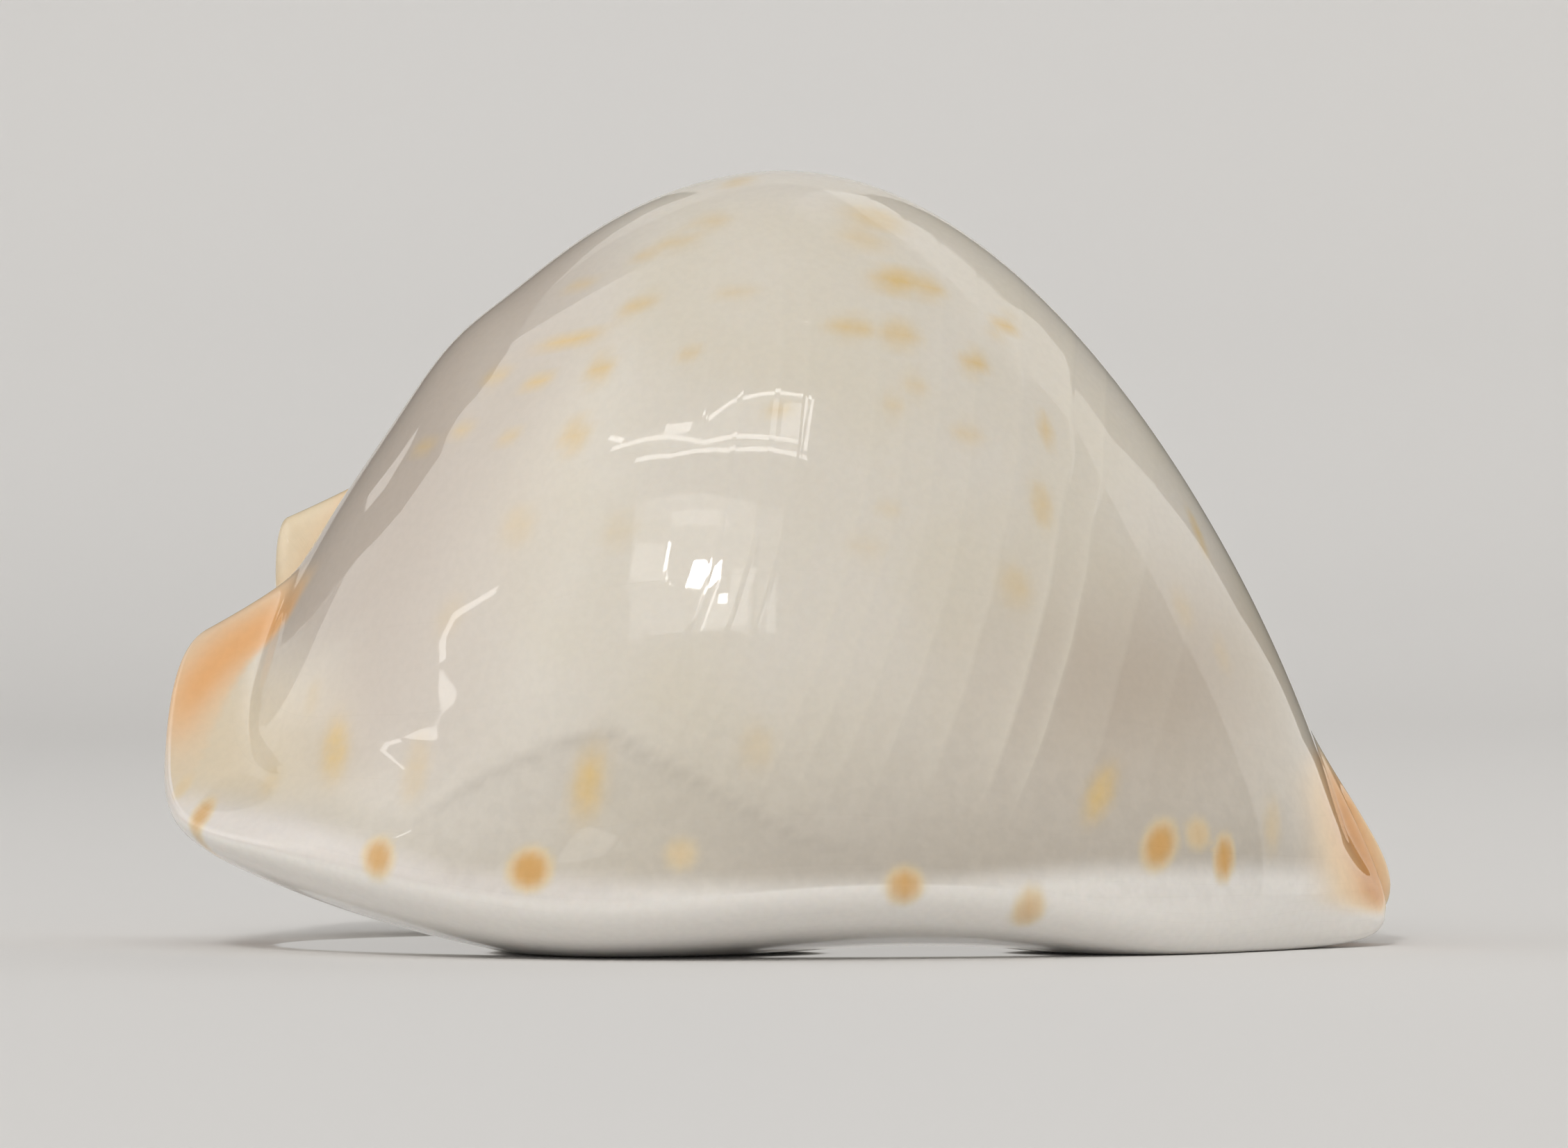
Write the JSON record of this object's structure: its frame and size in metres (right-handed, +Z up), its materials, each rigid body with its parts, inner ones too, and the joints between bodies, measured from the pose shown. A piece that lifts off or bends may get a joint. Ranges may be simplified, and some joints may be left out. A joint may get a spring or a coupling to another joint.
{
  "type": "cowrie shell",
  "caption": "Glossy humped cowrie shell with flared ends and a toothed slit along its flat underside.",
  "frame": {"origin": "under the middle of the shell's bounding box, on the surface it rests on", "axes": "+X towards the front end with the front canal, -Y towards the outer lip, +Z up from the underside to the back"},
  "size_m": [0.06, 0.0416, 0.038],
  "materials": {
    "shell": "high gloss"
  },
  "bodies": {
    "root": {"shell": "shell"}
  },
  "joints": []
}
